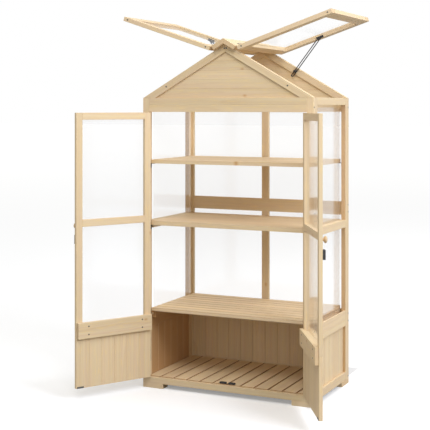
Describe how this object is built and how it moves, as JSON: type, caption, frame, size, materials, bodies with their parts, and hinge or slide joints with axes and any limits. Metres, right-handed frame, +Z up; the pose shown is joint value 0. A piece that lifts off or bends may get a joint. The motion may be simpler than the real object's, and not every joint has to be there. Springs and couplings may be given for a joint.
{
  "type": "wooden mini greenhouse",
  "caption": "Free-standing wooden cold-frame cabinet with glazed double doors, slatted cabinet, shelves and two propped glazed roof lids.",
  "frame": {"origin": "middle of the carcass footprint, on the floor", "axes": "+X to the right and +Y to the rear as seen from the front, +Z up"},
  "size_m": [1.1322, 0.8115, 1.6386],
  "materials": {
    "pine_frame": "planed softwood, pale, satin",
    "pine_boarding": "planed tongue and groove softwood",
    "pine_slats": "planed softwood slats",
    "turned_wood": "turned softwood, smooth",
    "clear_sheet": "clear glazing sheet, slightly hazy",
    "black_metal": "black painted steel",
    "zinc_steel": "zinc plated steel",
    "black_plastic": "black moulded plastic"
  },
  "bodies": {
    "carcass": {"cabinet_top_bearers": "pine_frame", "cabinet_top_slats": "pine_slats", "carcass_screws": "zinc_steel", "corner_feet": "pine_frame", "door_hinge_leaves": "zinc_steel", "floor_bearers": "pine_frame", "floor_slats": "pine_slats", "front_apron": "pine_frame", "front_header": "pine_frame", "front_stiles": "pine_frame", "gable_boards": "pine_boarding", "lid_hinge_leaves": "zinc_steel", "magnetic_catches": "black_plastic", "middle_shelf": "pine_slats", "rake_boards": "pine_frame", "rear_centre_post": "pine_frame", "rear_cross_board": "pine_frame", "rear_lower_boards": "pine_boarding", "rear_panes": "clear_sheet", "rear_rails": "pine_frame", "rear_stiles": "pine_frame", "ridge_boards": "pine_frame", "sheet_battens": "pine_frame", "shelf_brackets": "zinc_steel", "side_boards": "pine_boarding", "side_rails": "pine_frame", "side_sheet_left": "clear_sheet", "side_sheet_right": "clear_sheet", "side_stiles": "pine_frame", "stay_studs": "zinc_steel", "upper_shelf": "pine_slats"},
    "door_left": {"door_left_batten": "pine_frame", "door_left_bolt_keeper": "black_metal", "door_left_catch_plate": "zinc_steel", "door_left_fixings": "zinc_steel", "door_left_frame": "pine_frame", "door_left_knob": "turned_wood", "door_left_lower_boards": "pine_boarding", "door_left_panes": "clear_sheet"},
    "door_right": {"door_right_batten": "pine_frame", "door_right_bolt_plate": "black_metal", "door_right_catch_plate": "zinc_steel", "door_right_fixings": "zinc_steel", "door_right_frame": "pine_frame", "door_right_knob": "turned_wood", "door_right_lower_boards": "pine_boarding", "door_right_panes": "clear_sheet"},
    "bolt": {"door_bolt": "black_metal"},
    "lid_left": {"lid_left_fixings": "zinc_steel", "lid_left_frame": "pine_frame", "lid_left_sheet": "clear_sheet", "lid_left_stay_bracket": "black_metal"},
    "lid_right": {"lid_right_fixings": "zinc_steel", "lid_right_frame": "pine_frame", "lid_right_sheet": "clear_sheet", "lid_right_stay_bracket": "black_metal"},
    "stay_left": {"lid_left_stay_bar": "black_metal"},
    "stay_right": {"lid_right_stay_bar": "black_metal"},
    "stay_knob_left": {"lid_left_stay_knob": "black_plastic"},
    "stay_knob_right": {"lid_right_stay_knob": "black_plastic"}
  },
  "joints": [
    {"name": "door_left_swing", "type": "hinge", "parent": "carcass", "child": "door_left", "pos_m": [-0.3688, -0.2286, 0.6], "axis": [0, 0, 1], "range_deg": [-50, 120]},
    {"name": "door_right_swing", "type": "hinge", "parent": "carcass", "child": "door_right", "pos_m": [0.3688, -0.2286, 0.6], "axis": [0, 0, -1], "range_deg": [-50, 120]},
    {"name": "bolt_slide", "type": "slide", "parent": "door_right", "child": "bolt", "axis": [0.5, -0.866, 0], "range_m": [0, 0.011]},
    {"name": "lid_left_swing", "type": "hinge", "parent": "carcass", "child": "lid_left", "pos_m": [-0.05888, 0, 1.49993], "axis": [0, -1, 0], "range_deg": [0, 48.5]},
    {"name": "stay_left_swing", "type": "hinge", "parent": "lid_left", "child": "stay_left", "pos_m": [-0.27285, 0.1995, 1.55064], "axis": [0, -1, 0], "range_deg": [0, 22]},
    {"name": "stay_knob_left_slide", "type": "slide", "parent": "stay_left", "child": "stay_knob_left", "axis": [-0.6143, 0, 0.7891], "range_m": [0, 0.1035]},
    {"name": "lid_right_swing", "type": "hinge", "parent": "carcass", "child": "lid_right", "pos_m": [0.05888, 0, 1.49993], "axis": [0, 1, 0], "range_deg": [0, 48.5]},
    {"name": "stay_right_swing", "type": "hinge", "parent": "lid_right", "child": "stay_right", "pos_m": [0.27285, 0.1995, 1.55064], "axis": [0, 1, 0], "range_deg": [0, 22]},
    {"name": "stay_knob_right_slide", "type": "slide", "parent": "stay_right", "child": "stay_knob_right", "axis": [0.6143, 0, 0.7891], "range_m": [0, 0.1035]}
  ],
  "couplings": [
    {"joint": "stay_left_swing", "follows": "lid_left_swing", "ratio": 0.45078},
    {"joint": "stay_knob_left_slide", "follows": "lid_left_swing", "m_per_rad": 0.12189},
    {"joint": "stay_right_swing", "follows": "lid_right_swing", "ratio": 0.45078},
    {"joint": "stay_knob_right_slide", "follows": "lid_right_swing", "m_per_rad": 0.12189}
  ]
}
